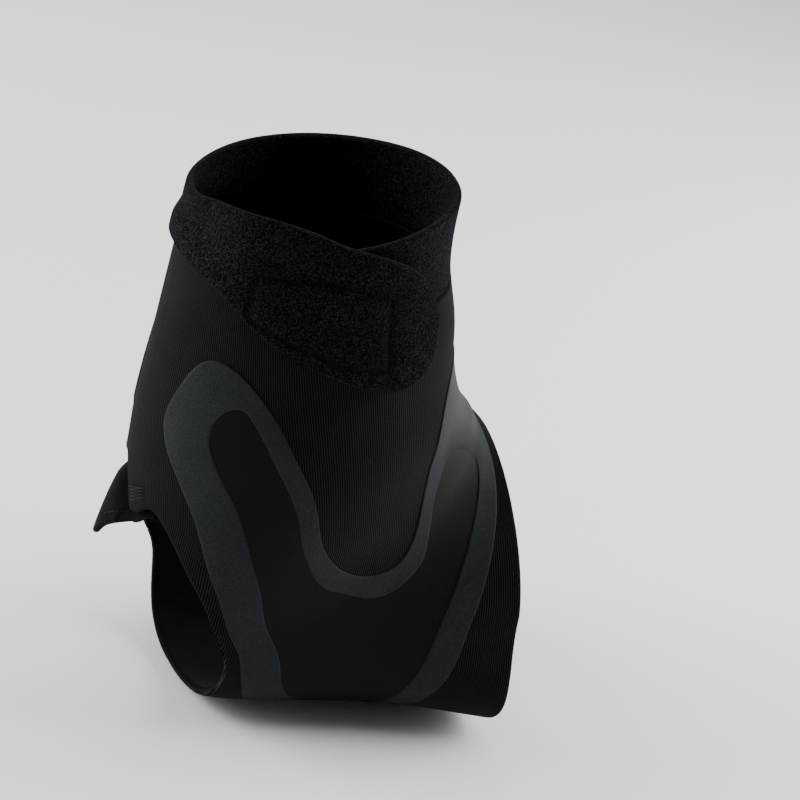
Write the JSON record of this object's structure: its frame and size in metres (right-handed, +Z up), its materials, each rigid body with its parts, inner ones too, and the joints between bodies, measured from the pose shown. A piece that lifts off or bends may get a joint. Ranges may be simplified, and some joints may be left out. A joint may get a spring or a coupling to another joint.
{
  "type": "ankle brace",
  "caption": "Wrap-round ankle brace: a ribbed knit sleeve with an open heel, bonded support bands, a heel tab and a hook-and-loop strap round the ankle.",
  "frame": {"origin": "where the wearer's sole rests: on the inner face of the strap under the foot, below the ankle, 65 mm ahead of the heel's back", "axes": "+X towards the toes, -Y towards the outer side of a right ankle, +Z up the leg, square to the sole"},
  "size_m": [0.1157, 0.0912, 0.1625],
  "materials": {
    "ribbed_knit": "matt ribbed knit",
    "loop_pile": "brushed loop pile",
    "hook_tape": "moulded hooks",
    "bonded_film": "thin matt film bonded to the knit"
  },
  "bodies": {
    "root": {"knit_body": "ribbed_knit", "heel_tab": "ribbed_knit", "ankle_strap": "loop_pile", "hook_patch": "hook_tape", "film_outer": "bonded_film", "film_inner": "bonded_film"}
  },
  "joints": []
}
